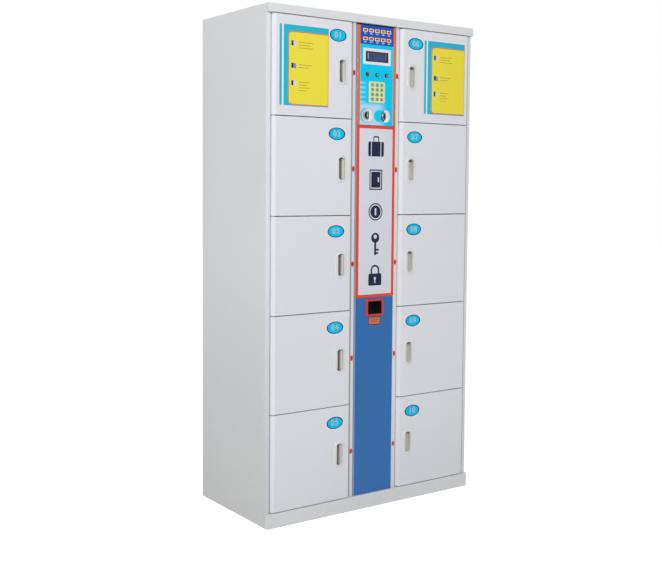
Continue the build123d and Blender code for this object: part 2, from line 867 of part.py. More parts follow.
# Coin chutes: square tubes, one down to the coin box and one to the return cup
cup_roof = cup_frame_z + cup_h / 2 + sheet
box_top = plinth_h + box_h + box_lid
with BuildPart() as coin_chute:
    with BuildSketch(Plane.XY.offset(box_top)):
        with Locations((cash_chute_x, back(cash_chute_y))):
            Rectangle(chute_w, chute_d)
            Rectangle(chute_w - 2 * chute_wall, chute_d - 2 * chute_wall, mode=Mode.SUBTRACT)
    extrude(amount=validator_low - box_top)
    with BuildSketch(Plane.XY.offset(cup_roof)):
        with Locations((return_chute_x, back(return_chute_y))):
            Rectangle(return_chute_w, return_chute_d)
            Rectangle(
                return_chute_w - 2 * chute_wall,
                return_chute_d - 2 * chute_wall,
                mode=Mode.SUBTRACT,
            )
    extrude(amount=validator_low - cup_roof)
write(coin_chute, "coin_chute")

# Coin box: closed box on the plinth, whose lid overhangs it and has the slot for coins
with BuildPart() as coin_box:
    with Locations((0, back(box_front), plinth_h)):
        Box(box_w, box_d, box_h, align=(Align.CENTER, Align.MIN, Align.MIN))
    fillet(coin_box.edges().filter_by(Axis.Z), radius=bend)
    with BuildSketch(Plane.XY.offset(plinth_h + box_h)):
        with Locations((0, back(box_front + box_d / 2))):
            RectangleRounded(box_w + 2 * box_lid, box_d + 2 * box_lid, bend)
        with Locations((cash_chute_x, back(cash_chute_y))):
            Rectangle(
                chute_w - 2 * chute_wall, chute_d - 2 * chute_wall, mode=Mode.SUBTRACT
            )
    extrude(amount=box_lid)
write(coin_box, "coin_box")

# Power supply: closed steel case on the back panel
with BuildPart() as power_supply:
    with BuildSketch(Plane.XZ.offset(-back(back_y))):
        with Locations((0, psu_z)):
            Rectangle(psu_w, psu_h)
            Rectangle(psu_ear_w, psu_h + 2 * psu_ear)
    extrude(amount=sheet)
    with BuildSketch(Plane.XZ.offset(-back(back_y))):
        with Locations((0, psu_z)):
            Rectangle(psu_w, psu_h)
    extrude(amount=psu_d)
write(power_supply, "power_supply")

# Controller board: on four standoffs, with a row of terminals and a relay block
board_back = back_y - standoff_l
with BuildPart() as controller_board:
    with BuildSketch(Plane.XZ.offset(-back(back_y))):
        with Locations((0, board_z)):
            with GridLocations(board_w - 4 * standoff_r, board_h - 4 * standoff_r, 2, 2):
                Circle(standoff_r)
    extrude(amount=standoff_l)
    with BuildSketch(Plane.XZ.offset(-back(board_back))):
        with Locations((0, board_z)):
            Rectangle(board_w, board_h)
    extrude(amount=board_t)
    with BuildSketch(Plane.XZ.offset(-back(board_back - board_t))):
        with Locations((0, board_z - board_h / 2 + terminal_d)):
            Rectangle(board_w - 4 * standoff_r - 2 * terminal_d, terminal_d)
        with Locations((0, board_z)):
            Rectangle(relay_w, relay_h)
    extrude(amount=terminal_d)
write(controller_board, "controller_board")

# Cable grommet: a flange on each face of the back panel, the mains cable goes through it
with BuildPart() as cable_grommet:
    with BuildSketch(Plane.XZ.offset(-back(depth))):
        with Locations((gland_x, gland_z)):
            Circle(gland_flange_r)
    extrude(amount=-gland_rim)
    with BuildSketch(Plane.XZ.offset(-back(depth))):
        with Locations((gland_x, gland_z)):
            Circle(gland_r)
    extrude(amount=sheet)
    with BuildSketch(Plane.XZ.offset(-back(back_y))):
        with Locations((gland_x, gland_z)):
            Circle(gland_flange_r)
    extrude(amount=gland_inner)
    with BuildSketch(Plane.XZ.offset(-back(depth + gland_rim))):
        with Locations((gland_x, gland_z)):
            Circle(gland_bore_r)
    extrude(amount=gland_rim + sheet + gland_inner, mode=Mode.SUBTRACT)
write(cable_grommet, "cable_grommet")
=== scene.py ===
# Electronic coin locker in a photo studio: ten numbered doors in two columns beside a
# middle column with the coin console. Metres; +Z is up and the doors face -Y.
import math

import bmesh
import bpy
from mathutils import Matrix, Vector


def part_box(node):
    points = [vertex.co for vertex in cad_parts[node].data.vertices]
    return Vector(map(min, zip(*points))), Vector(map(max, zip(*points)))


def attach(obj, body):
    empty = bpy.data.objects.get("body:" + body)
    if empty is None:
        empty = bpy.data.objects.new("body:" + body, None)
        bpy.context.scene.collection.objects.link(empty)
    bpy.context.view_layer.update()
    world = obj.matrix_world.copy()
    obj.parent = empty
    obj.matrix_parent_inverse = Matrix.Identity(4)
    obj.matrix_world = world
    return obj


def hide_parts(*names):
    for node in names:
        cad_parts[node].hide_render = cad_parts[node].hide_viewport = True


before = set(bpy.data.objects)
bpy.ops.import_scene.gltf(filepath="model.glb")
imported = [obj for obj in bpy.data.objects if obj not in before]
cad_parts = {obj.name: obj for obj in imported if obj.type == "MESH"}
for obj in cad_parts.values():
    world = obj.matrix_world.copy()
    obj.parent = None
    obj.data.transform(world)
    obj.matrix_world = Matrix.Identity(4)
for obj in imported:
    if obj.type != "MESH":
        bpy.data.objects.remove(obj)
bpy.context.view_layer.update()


# Camera: stands left of the locker at chest height and looks a little down; the lens and
# the shift give the perspective of the photograph, whose frame is 662 by 568.
def placed(name, data):
    """A new object in the scene that holds this data."""
    made = bpy.data.objects.new(name, data)
    bpy.context.collection.objects.link(made)
    return made


image_width = 662
image_height = 568
focal_px = 1002.61
centre_px = 246.0
sensor_mm = 36
yaw = 0.61579
pitch = -0.06099
roll = 0.00769
door_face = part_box("door_01")[0][1]
stand = Vector((-2.25048, door_face - 2.89342, 1.19148))
forward = Vector(
    (math.sin(yaw) * math.cos(pitch), math.cos(yaw) * math.cos(pitch), math.sin(pitch))
)
level = Vector((math.cos(yaw), -math.sin(yaw), 0))
upright = level.cross(forward)
right = math.cos(roll) * level + math.sin(roll) * upright
above = math.cos(roll) * upright - math.sin(roll) * level
camera_data = bpy.data.cameras.new("camera")
camera_data.sensor_width = sensor_mm
camera_data.lens = focal_px / image_width * sensor_mm
camera_data.shift_y = (centre_px - image_height / 2) / image_width
camera = placed("camera", camera_data)
turn = Matrix((right, above, -forward)).transposed()
camera.matrix_world = Matrix.Translation(stand) @ turn.to_4x4()
bpy.context.scene.camera = camera
bpy.context.scene.view_settings.view_transform = "Standard"


# Carcass: side panels, back, roof, plinth, column walls and shelves, folded from 1.2 mm
# steel sheet, spot welded and powder coated. The coat is satin, with the fine orange peel
# of a baked finish, slightly uneven in tone from place to place.
def linear(code):
    """An sRGB hex colour as the linear values that Blender's sockets take."""
    parts = [int(code[i : i + 2], 16) / 255 for i in (0, 2, 4)]
    light = [c / 12.92 if c <= 0.04045 else ((c + 0.055) / 1.055) ** 2.4 for c in parts]
    return (*light, 1.0)


def add(tree, kind, inputs=None, **settings):
    """Adds a node, sets it up, and links its inputs or gives them values."""
    made = tree.nodes.new(kind)
    for name, value in settings.items():
        setattr(made, name, value)
    for key, value in (inputs or {}).items():
        if isinstance(value, bpy.types.NodeSocket):
            tree.links.new(value, made.inputs[key])
        else:
            made.inputs[key].default_value = value
    return made


def maths(tree, operation, *values):
    """The result of a Math node."""
    return add(tree, "ShaderNodeMath", dict(enumerate(values)), operation=operation).outputs[0]


def both(tree, first, second):
    """Where both masks hold."""
    return maths(tree, "MULTIPLY", first, second)


def ramp(tree, value, low, high, start=0.0, end=1.0):
    """Carries low to high over to start to end, and holds the value past them."""
    limits = {0: value, 1: low, 2: high, 3: start, 4: end}
    return add(tree, "ShaderNodeMapRange", limits).outputs[0]


def fade(tree, value, full, none):
    """1 where the value is at full or past it, and 0 where it is at none or past it."""
    if full < none:
        return ramp(tree, value, full, none, 1.0, 0.0)
    return ramp(tree, value, none, full)


def noise(tree, place, scale, detail=2.0):
    """Cloudy noise round one half, with that many waves to the metre."""
    inputs = {"Vector": place, "Scale": scale, "Detail": detail}
    return add(tree, "ShaderNodeTexNoise", inputs).outputs["Fac"]


def along(tree, place, axis):
    """One coordinate of a place."""
    return add(tree, "ShaderNodeSeparateXYZ", {0: place}).outputs[axis]


def over(tree, under, mask, ink):
    """Lays an ink over what lies under it, where the mask is 1."""
    low, top = (linear(layer) if isinstance(layer, str) else layer for layer in (under, ink))
    return add(tree, "ShaderNodeMix", {0: mask, 6: low, 7: top}, data_type="RGBA").outputs[2]


def lay(tree, shader, colour, roughness=None, specular=None):
    """Gives the shader its colour, and its roughness and gloss where they are even."""
    tree.links.new(colour, shader.inputs["Base Color"])
    if roughness is not None:
        shader.inputs["Roughness"].default_value = roughness
    if specular is not None:
        shader.inputs["Specular IOR Level"].default_value = specular


def wander(tree, shader, grain, smooth, rough, high=0.7):
    """Lets the roughness wander between two values with a noise."""
    tree.links.new(ramp(tree, grain, 0.3, high, smooth, rough), shader.inputs["Roughness"])


def emboss(tree, shader, height, strength, distance):
    """Gives the surface the fine relief of a noise or a pattern."""
    inputs = {"Strength": strength, "Distance": distance, "Height": height}
    tree.links.new(add(tree, "ShaderNodeBump", inputs).outputs[0], shader.inputs["Normal"])


def material(name):
    """A new material with its tree, its shader and the place on the object."""
    made = bpy.data.materials.new(name)
    made.use_nodes = True
    tree = made.node_tree
    place = add(tree, "ShaderNodeTexCoord").outputs["Object"]
    return made, tree, tree.nodes["Principled BSDF"], place


def powder_coat(name, tone, shade, roughness, dust_and_shade_share=0.22, dust_and_shade_reach=0.35):
    """Baked powder coat on steel: orange peel, cloudy tone, and dust low down, darker towards the
    floor, which is partly painted shade.
    """
    made, tree, shader, place = material(name)
    cloud_m = 0.45
    peel_m = 0.0022
    clouded = over(tree, tone, noise(tree, place, 1 / cloud_m, 3.0), shade)
    speckle = noise(tree, place, 60.0, 4.0)
    low = ramp(tree, along(tree, place, "Z"), 0.0, dust_and_shade_reach, dust_and_shade_share, 0.0)
    dust_and_shade = both(tree, low, ramp(tree, speckle, 0.0, 1.0, 0.44, 0.56))
    lay(tree, shader, over(tree, clouded, dust_and_shade, "9d9993"))
    wander(tree, shader, speckle, roughness - 0.04, roughness + 0.05)
    emboss(tree, shader, noise(tree, place, 1 / peel_m, 1.0), 0.25, 0.00012)
    return made


def opened(finish):
    """The tree, the shader and the colour so far of a finish, and the place on the object."""
    tree = finish.node_tree
    shader = tree.nodes["Principled BSDF"]
    clean = shader.inputs["Base Color"].links[0].from_socket
    return tree, shader, clean, add(tree, "ShaderNodeTexCoord").outputs["Object"]


def painted_edge_shade(finish, edge_x, share):
    """Paints shade on the front of an upright left of edge_x, where it lies behind a door's edge.
    """
    tree, shader, clean, place = opened(finish)
    post_front = door_face + 0.015
    by_door = fade(tree, along(tree, place, "X"), edge_x, edge_x + 0.0012)
    in_front = fade(tree, along(tree, place, "Y"), post_front - 0.0005, post_front + 0.0005)
    gap_shade = both(tree, both(tree, by_door, in_front), share)
    lay(tree, shader, over(tree, clean, gap_shade, "4c4a48"))
    return finish


def dress(node, finish):
    """Gives a piece of the frame its material."""
    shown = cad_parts[node]
    shown.data.materials.clear()
    shown.data.materials.append(finish)


cabinet_look = ("e3e5e8", "dadcde", 0.42)
carcass_coat = powder_coat("powder_coat_grey_white", *cabinet_look)
for node in ("back_panel", "top_cover", "plinth_base", "right_column_wall", "shelves"):
    dress(node, carcass_coat)
# On the side panel the dust colour runs strong and high: painted shade, darker towards the floor.
side_coat = powder_coat(
    "powder_coat_side_shaded_low", "e5e7ea", "dcdee0", 0.42, dust_and_shade_share=0.75, dust_and_shade_reach=0.9
)
dress("left_side_panel", side_coat)
post_coat = powder_coat("powder_coat_left_post", *cabinet_look)
# Painted shade: a dark strip down the post front, beside the door's edge.
dress("left_column_wall", painted_edge_shade(post_coat, edge_x=-0.1040, share=0.55))
flange_coat = powder_coat("powder_coat_right_side", *cabinet_look)
# Painted shade: a dark strip down the side's front flange, beside the door's edge.
dress("right_side_panel", painted_edge_shade(flange_coat, edge_x=0.4500, share=0.5))


# Rivets: the back panel is held by aluminium pop rivets through the rear flanges of the
# side panels, one about every 15 cm, each with a low turned head.
def brushed_metal(name, tone, roughness, grain_m):
    """Bare or plated metal with a fine directional grain and cloudy roughness."""
    made, tree, shader, place = material(name)
    stretched = add(tree, "ShaderNodeMapping", {0: place, 3: (0.08, 1.0, 1.0)}).outputs[0]
    grain = noise(tree, stretched, 1 / grain_m)
    shader.inputs["Base Color"].default_value = linear(tone)
    shader.inputs["Metallic"].default_value = 1.0
    wander(tree, shader, grain, roughness - 0.06, roughness + 0.08)
    emboss(tree, shader, grain, 0.15, 0.00005)
    return made


def stud_tree(finish):
    """Heads of rivets or screws on the points of a mesh, with a cross recess if it is deep."""
    tree = bpy.data.node_groups.new("stud_heads", "GeometryNodeTree")
    tree.interface.new_socket("Points", in_out="INPUT", socket_type="NodeSocketGeometry")
    for name in ("Radius", "Height", "Recess"):
        tree.interface.new_socket(name, in_out="INPUT", socket_type="NodeSocketFloat")
    tree.interface.new_socket("Turn", in_out="INPUT", socket_type="NodeSocketVector")
    tree.interface.new_socket("Heads", in_out="OUTPUT", socket_type="NodeSocketGeometry")
    given = add(tree, "NodeGroupInput")
    radius = given.outputs["Radius"]
    top_share = 0.62
    bar_share = 0.24
    head = add(
        tree,
        "GeometryNodeMeshCone",
        {
            "Vertices": 28,
            "Side Segments": 1,
            "Radius Top": maths(tree, "MULTIPLY", radius, top_share),
            "Radius Bottom": radius,
            "Depth": given.outputs["Height"],
        },
    )
    cut = add(tree, "GeometryNodeMeshBoolean", {"Mesh 1": head.outputs["Mesh"]})
    lift = add(tree, "ShaderNodeCombineXYZ", {2: given.outputs["Height"]}).outputs[0]
    for share_x, share_y in ((1.0, bar_share), (bar_share, 1.0)):
        bar_x = maths(tree, "MULTIPLY", radius, share_x)
        bar_y = maths(tree, "MULTIPLY", radius, share_y)
        size = add(tree, "ShaderNodeCombineXYZ", {0: bar_x, 1: bar_y, 2: given.outputs["Recess"]})
        bar = add(tree, "GeometryNodeMeshCube", {"Size": size.outputs[0]})
        raised = add(
            tree,
            "GeometryNodeTransform",
            {"Geometry": bar.outputs["Mesh"], "Translation": lift},
        )
        tree.links.new(raised.outputs[0], cut.inputs["Mesh 2"])
    set_out = add(
        tree,
        "GeometryNodeInstanceOnPoints",
        {
            "Points": given.outputs["Points"],
            "Instance": cut.outputs["Mesh"],
            "Rotation": given.outputs["Turn"],
        },
    )
    real = add(tree, "GeometryNodeRealizeInstances", {0: set_out.outputs[0]})
    finished = add(
        tree, "GeometryNodeSetMaterial", {"Geometry": real.outputs[0], "Material": finish}
    )
    add(tree, "NodeGroupOutput", {0: finished.outputs[0]})
    return tree


def taken_mesh(holder):
    """The mesh that an object's modifiers or its text make; the object itself goes."""
    evaluated = holder.evaluated_get(bpy.context.evaluated_depsgraph_get())
    mesh = bpy.data.meshes.new_from_object(evaluated)
    bpy.data.objects.remove(holder)
    return mesh


def set_piece(name, mesh, finishes, body):
    """Puts a finished mesh in the scene and lets it ride on its body."""
    mesh.name = name
    for finish in finishes:
        mesh.materials.append(finish)
    made = placed(name, mesh)
    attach(made, body)
    return made


def stud_heads(name, places, tree, body, radius, height, recess, turned):
    """One mesh of the heads at those places, which rides on that body."""
    points = bpy.data.meshes.new(name + "_points")
    points.from_pydata(places, [], [])
    holder = placed(name + "_points", points)
    modifier = holder.modifiers.new("heads", "NODES")
    modifier.node_group = tree
    values = {"Radius": radius, "Height": height, "Recess": recess, "Turn": turned}
    for item in tree.interface.items_tree:
        if item.name in values:
            modifier[item.identifier] = values[item.name]
    set_piece(name, taken_mesh(holder), [], body)


back_low, back_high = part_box("back_panel")
rivet_inset = 0.012
rivet_from_end = 0.03
rivet_rows = 12
rivet_step = (back_high[2] - back_low[2] - 2 * rivet_from_end) / (rivet_rows - 1)
rivet_places = [
    (side * (back_high[0] - rivet_inset), back_high[1], rivet_from_end + row * rivet_step)
    for side in (-1, 1)
    for row in range(rivet_rows)
]
rivet_metal = brushed_metal("aluminium_rivet_turned", "c9cbcd", roughness=0.34, grain_m=0.0006)
stud_heads(
    "back_rivets",
    rivet_places,
    stud_tree(rivet_metal),
    "cabinet",
    radius=0.0032,
    height=0.0009,
    recess=0.0002,
    turned=(-math.pi / 2, 0, 0),
)

# Doors: ten folded pans of 1 mm sheet with bevelled upright edges, coated in a slightly
# bluer white than the carcass. They hang on pins in small plated lugs and lock on bolts.
door_coat = powder_coat("powder_coat_door_white", "e6e8ee", "dfe1e7", roughness=0.40)
plated_steel = brushed_metal("zinc_plated_steel", "b9bcbe", roughness=0.36, grain_m=0.0011)
door_numbers = [f"{number:02d}" for number in range(1, 11)]
doors_in_column = 5
for number in door_numbers:
    dress(f"door_{number}", door_coat)
    dress(f"latch_{number}", plated_steel)
for node in ("hinge_lugs", "hinge_pins", "lock_cases"):
    dress(node, plated_steel)


# Pull cups: one ABS moulding in each door, warm white and semi-gloss, set in from the front
# and turned over on the right doors. Two pan-head screws in the scoop hold it.
def darker(code, share):
    """A hex colour as linear values, with that share of its light."""
    return [c * share for c in linear(code)[:3]] + [1.0]


def moulded(name, tone, roughness, grain_m, grain_depth=0.00002):
    """Injection-moulded plastic: even colour, faint spark-eroded grain."""
    made, tree, shader, place = material(name)
    grain = noise(tree, place, 1 / grain_m)
    flow = noise(tree, place, 25.0)
    lay(tree, shader, over(tree, tone, flow, darker(tone, 0.94)))
    wander(tree, shader, grain, roughness - 0.04, roughness + 0.06)
    emboss(tree, shader, grain, 0.2, grain_depth)
    return made


def nearest(tree, value, first, pitch):
    """Distance, with its sign, from the nearest of copies that stand a pitch apart."""
    away = maths(tree, "SUBTRACT", value, first)
    return maths(tree, "WRAP", away, pitch / 2, -pitch / 2)


def painted_scoop_shade(finish, share, end_share):
    """Paints shade deep in the scoops of a moulding, most at their upper ends."""
    tree, shader, clean, place = opened(finish)
    end_drop = 0.0150
    tops = [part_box(f"pull_{number}")[1][2] for number in ("01", "02")]
    end_z = nearest(tree, along(tree, place, "Z"), tops[0] - end_drop, tops[0] - tops[1])
    shade_amount = ramp(tree, maths(tree, "ABSOLUTE", end_z), 0.002, 0.006, end_share, share)
    deep = fade(tree, along(tree, place, "Y"), door_face + 0.0125, door_face + 0.0075)
    lay(tree, shader, over(tree, clean, both(tree, deep, shade_amount), "3a3029"))
    return finish


def middle_of(node):
    """The middle of a piece as seen from the front, as x and z."""
    low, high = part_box(node)
    return (low[0] + high[0]) / 2, (low[2] + high[2]) / 2


def mesh_of(work, name):
    """The mesh of a finished piece of work, which is freed."""
    made = bpy.data.meshes.new(name)
    work.to_mesh(made)
    work.free()
    return made


def turned_over(node, finish, body):
    """Stands a copy of a piece, turned half round on the door, in place of its node."""
    middle_x, middle_z = middle_of(node)
    middle = Vector((middle_x, 0, middle_z))
    half_turn = Matrix.Rotation(math.pi, 4, "Y")
    work = bmesh.new()
    work.from_mesh(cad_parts[node].data)
    bmesh.ops.remove_doubles(work, verts=work.verts, dist=0.000001)
    bmesh.ops.transform(
        work,
        matrix=Matrix.Translation(middle) @ half_turn @ Matrix.Translation(-middle),
        verts=work.verts,
    )
    piece = set_piece(f"{node}_turned", mesh_of(work, node), [finish], body)
    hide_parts(node)


# The pull mouldings carry painted shade in their scoops, much more on the left doors.
left_plastic, right_plastic = (
    painted_scoop_shade(moulded(name, "e4e3e0", roughness=0.32, grain_m=0.0008), share, end_share)
    for name, share, end_share in (
        ("abs_warm_white_left", 0.85, 0.95),
        ("abs_warm_white_right", 0.26, 0.85),
    )
)
screw_tree = stud_tree(brushed_metal("nickel_screw", "dedcd8", roughness=0.48, grain_m=0.0005))
screw_seat = door_face + 0.0112
screw_off_x = 0.0075
screw_off_z = 0.031
for number in door_numbers:
    pull, body = f"pull_{number}", f"door_{number}"
    middle_x, middle_z = middle_of(pull)
    if middle_x < 0:
        dress(pull, left_plastic)
        screw_x = middle_x + screw_off_x
    else:
        turned_over(pull, right_plastic, body)
        screw_x = middle_x - screw_off_x
    stud_heads(
        f"pull_screws_{number}",
        [(screw_x, screw_seat, middle_z + side * screw_off_z) for side in (-1, 1)],
        screw_tree,
        body,
        radius=0.0034,
        height=0.0022,
        recess=0.0024,
        turned=(math.pi / 2, 0, 0),
    )

# Number badges: an oval vinyl label on each door, printed cyan with a navy line and an
# olive number, on a white ground. Stuck on by hand, they stray by a few millimetres.
badge_half_w = 0.0388
badge_half_h = 0.0236
badge_t = 0.0004
badge_edge_t = 0.00028
badge_drop = 0.0515
badge_sag = 0.0013
badge_x = (-0.180, 0.1765)
nudges = (
    (0.0005, -0.0014, -0.0024, -0.0033, -0.0010),
    (-0.0006, -0.0007, 0.0002, 0.0016, 0.0031),
)
badge_digit_h = 0.0205
film_specular = 0.12


def printed(name, ink, roughness):
    """Screen ink on film: flat colour, slightly uneven where the ink was drawn."""
    made, tree, shader, place = material(name)
    drawn = add(tree, "ShaderNodeMapping", {0: place, 3: (1.0, 1.0, 0.25)}).outputs[0]
    ripple = noise(tree, drawn, 140.0, 3.0)
    lay(tree, shader, over(tree, ink, ripple, darker(ink, 0.9)), roughness, film_specular)
    return made


def oval(work, x, y, z, half_x, half_z, steps):
    """A closed loop of points round a place, as seen from the front."""
    angles = [2 * math.pi * step / steps for step in range(steps)]
    return [work.verts.new((x + half_x * math.cos(a), y, z + half_z * math.sin(a))) for a in angles]


def bridge(work, here, there, ink=0):
    """Faces all round between two loops; a loop may also be a single point."""
    count = max(len(here), len(there))
    for step in range(count):
        after = (step + 1) % count
        corners = [here[step % len(here)], here[after % len(here)]]
        corners += [there[after % len(there)], there[step % len(there)]]
        face = work.faces.new(list(dict.fromkeys(corners)))
        face.material_index = ink


def closed_mesh(work, name):
    """The mesh of closed work whose faces are turned outwards."""
    bmesh.ops.recalc_face_normals(work, faces=work.faces)
    return mesh_of(work, name)


def oval_label(x, y, z, rings):
    """An oval disc in rings of (share of the size, depth before the face, ink)."""
    work = bmesh.new()
    loops = [
        oval(work, x, y - proud, z, share * badge_half_w, share * badge_half_h, steps=72)
        for share, proud, _ in rings
    ]
    inks = [ink for _, _, ink in rings]
    for outer, inner, ink in zip(loops, loops[1:], inks[1:]):
        bridge(work, outer, inner, ink)
    cap = work.faces.new(loops[-1])
    cap.material_index = inks[-1]
    base = work.faces.new(list(reversed(loops[0])))
    base.material_index = inks[0]
    return closed_mesh(work, "disc")


def lettering(text, height, middle, depth, ink=0, weight=0.0, spread=1.08):
    """Numbers as a thin printed relief that faces the front, centred on a place."""
    digit_share = 0.72
    curve = bpy.data.curves.new("number", "FONT")
    curve.body = text
    curve.size = height / digit_share
    curve.align_x = "CENTER"
    curve.align_y = "CENTER"
    curve.extrude = depth
    curve.offset = weight
    curve.space_character = spread
    curve.resolution_u = 4
    mesh = taken_mesh(placed("number", curve))
    mesh.transform(Matrix.Translation(middle) @ Matrix.Rotation(math.pi / 2, 4, "X"))
    mesh.materials.clear()
    for face in mesh.polygons:
        face.material_index = ink
    return mesh


def joined(meshes):
    """One mesh of several."""
    work = bmesh.new()
    for mesh in meshes:
        work.from_mesh(mesh)
    return mesh_of(work, "joined")


badge_inks = [
    printed("vinyl_white", "f0f1f2", 0.32),
    printed("screen_ink_navy", "06183c", 0.34),
    printed("screen_ink_cyan", "00c8ff", 0.36),
    printed("screen_ink_olive", "d0ca74", 0.36),
]
white, navy, cyan, olive = range(4)
badge_rings = (
    (1.0, 0.0, white),
    (1.0, badge_edge_t, white),
    (0.99, badge_t, white),
    (0.935, badge_t, white),
    (0.815, badge_t, navy),
    (0.79, badge_t, cyan),
)
for index, number in enumerate(door_numbers):
    column, row = divmod(index, doors_in_column)
    label_x = nudges[column][row] + badge_x[column]
    label_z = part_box(f"door_{number}")[1][2] - badge_drop - row * badge_sag
    disc = oval_label(label_x, door_face, label_z, badge_rings)
    digit_place = Vector((label_x, door_face - badge_t, label_z))
    digits = lettering(
        number, badge_digit_h, digit_place, depth=0.00008, ink=olive, weight=0.0002, spread=1.2
    )
    set_piece(f"badge_{number}", joined([disc, digits]), badge_inks, f"door_{number}")


# User guide stickers: sheets of printed vinyl on the two top doors, turquoise with a white
# stripe and a yellow panel, which carries ruled bars and plain blocks in three groups.
def vectors(tree, operation, *values):
    """The result of a Vector Math node."""
    made = add(tree, "ShaderNodeVectorMath", dict(enumerate(values)), operation=operation)
    return made.outputs["Value" if operation == "LENGTH" else "Vector"]


def flat_from(tree, place, middle):
    """The way from a middle to the place, as seen from the front."""
    moved = vectors(tree, "SUBTRACT", place, (middle[0], 0, middle[1]))
    return vectors(tree, "MULTIPLY", moved, (1, 0, 1))


def inside(tree, place, middle, half, corner=0.0004, soft=0.00012):
    """Mask of a rounded rectangle as seen from the front: 1 inside and 0 outside."""
    size = vectors(tree, "ABSOLUTE", flat_from(tree, place, middle))
    past = vectors(tree, "SUBTRACT", size, (half[0] - corner, 0, half[1] - corner))
    far = vectors(tree, "LENGTH", vectors(tree, "MAXIMUM", past))
    return fade(tree, far, corner - soft, corner + soft)


def stamp(tree, place, under, middle, half, ink, corner=0.0004):
    """Prints a rounded block of ink over what lies under it."""
    return over(tree, under, inside(tree, place, middle, half, corner), ink)


def plate(name, middle, half, depth, corner):
    """A thin plate with rounded corners that stands proud of a face at middle."""
    segments = 6
    outline = []
    for quarter in range(4):
        for step in range(segments + 1):
            angle = math.pi / 2 * (quarter + step / segments)
            out_x = (half[0] - corner) * (1 if quarter in (0, 3) else -1)
            out_z = (half[1] - corner) * (1 if quarter in (0, 1) else -1)
            outline.append((out_x + corner * math.cos(angle), out_z + corner * math.sin(angle)))
    work = bmesh.new()
    back, front = (
        [work.verts.new((middle[0] + x, middle[1] - proud, middle[2] + z)) for x, z in outline]
        for proud in (0, depth)
    )
    bridge(work, back, front)
    work.faces.new(front)
    work.faces.new(list(reversed(back)))
    return closed_mesh(work, name)


sticker_w = 0.2023
sticker_h = 0.273
sticker_t = 0.00022
stripe_x = 0.013
stripe_half_w = 0.0033
panel_x = 0.038
panel_low = 0.006
panel_high = 0.249
panel_half = (0.1, (panel_high - panel_low) / 2)
panel_line = 0.0028
right_margin = 0.0018
lines_x = 0.078
line_pitch = 0.0095
dark_block_x = 0.0535
pale_block_x = 0.0615
guide_rows = ((3, 0.212, "cfd3de"), (2, 0.136, "7f93d6"), (4, 0.077, "d5dae6"))


def sticker_print(name, left, bottom):
    """The print of one guide sticker, placed by its lower left corner."""
    made, tree, shader, place = material(name)
    ripple = noise(tree, place, 55.0, 3.0)
    ground = over(tree, "26b2d0", ripple, "30bad6")
    stripe_middle = (left + stripe_x, bottom + sticker_h / 2)
    colour = stamp(tree, place, ground, stripe_middle, (stripe_half_w, sticker_h), "eef2f4")
    panel_middle = (left + panel_x + panel_half[0], bottom + (panel_high + panel_low) / 2)
    edge = (panel_half[0] + panel_line, panel_half[1] + panel_line)
    colour = stamp(tree, place, colour, panel_middle, edge, "ec6a30", corner=0.0145)
    margin_half = (sticker_w - right_margin, sticker_h)
    within = inside(tree, place, (left, panel_middle[1]), margin_half)
    panel = inside(tree, place, panel_middle, panel_half, corner=0.0125)
    colour = over(tree, colour, both(tree, panel, within), "efe046")
    for row, (lines, sign_up, sign_ink) in enumerate(guide_rows):
        sign_z = bottom + sign_up
        for line in range(lines):
            line_half = (0.030 - 0.006 * (line % 2) - 0.004 * row, 0.0011)
            middle = (left + lines_x + line_half[0], sign_z + 0.004 - line * line_pitch)
            colour = stamp(tree, place, colour, middle, line_half, "b3a23a", corner=0.0006)
        middle = (left + dark_block_x, sign_z)
        colour = stamp(tree, place, colour, middle, (0.0062, 0.0085), "2c3554")
        middle = (left + pale_block_x, sign_z - 0.001)
        colour = stamp(tree, place, colour, middle, (0.0058, 0.0088), sign_ink, corner=0.0015)
    lay(tree, shader, colour, 0.30, film_specular)
    return made


for number, left, bottom in (("01", -0.422, 1.461), ("06", 0.219, 1.460)):
    middle = (left + sticker_w / 2, door_face, bottom + sticker_h / 2)
    sticker_half = (sticker_w / 2, sticker_h / 2)
    sheet_mesh = plate("sheet", middle, sticker_half, sticker_t, corner=0.003)
    vinyl = sticker_print(f"printed_vinyl_guide_{number}", left, bottom)
    set_piece(f"guide_sticker_{number}", sheet_mesh, [vinyl], f"door_{number}")

# Middle panel: blue powder-coated sheet between the inner posts, satin and quite even. Its
# folded edges are painted greyer in a narrow band.
grey_edge_band = 0.0035
blue_coat = powder_coat("powder_coat_blue", "2e70b4", "2a69ab", 0.42, dust_and_shade_share=0.02)
tree, shader, body_blue, place = opened(blue_coat)
blue_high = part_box("service_panel")[1]
flat_half = (blue_high[0] - grey_edge_band, blue_high[2])
flat_middle = (0, middle_of("service_panel")[1])
flat_field = inside(tree, place, flat_middle, flat_half, corner=0.001, soft=0.0004)
# A narrow band round the edges is painted a greyer blue.
colour = over(tree, "8a93b8", flat_field, body_blue)
lay(tree, shader, colour, specular=0.3)
dress("service_panel", blue_coat)

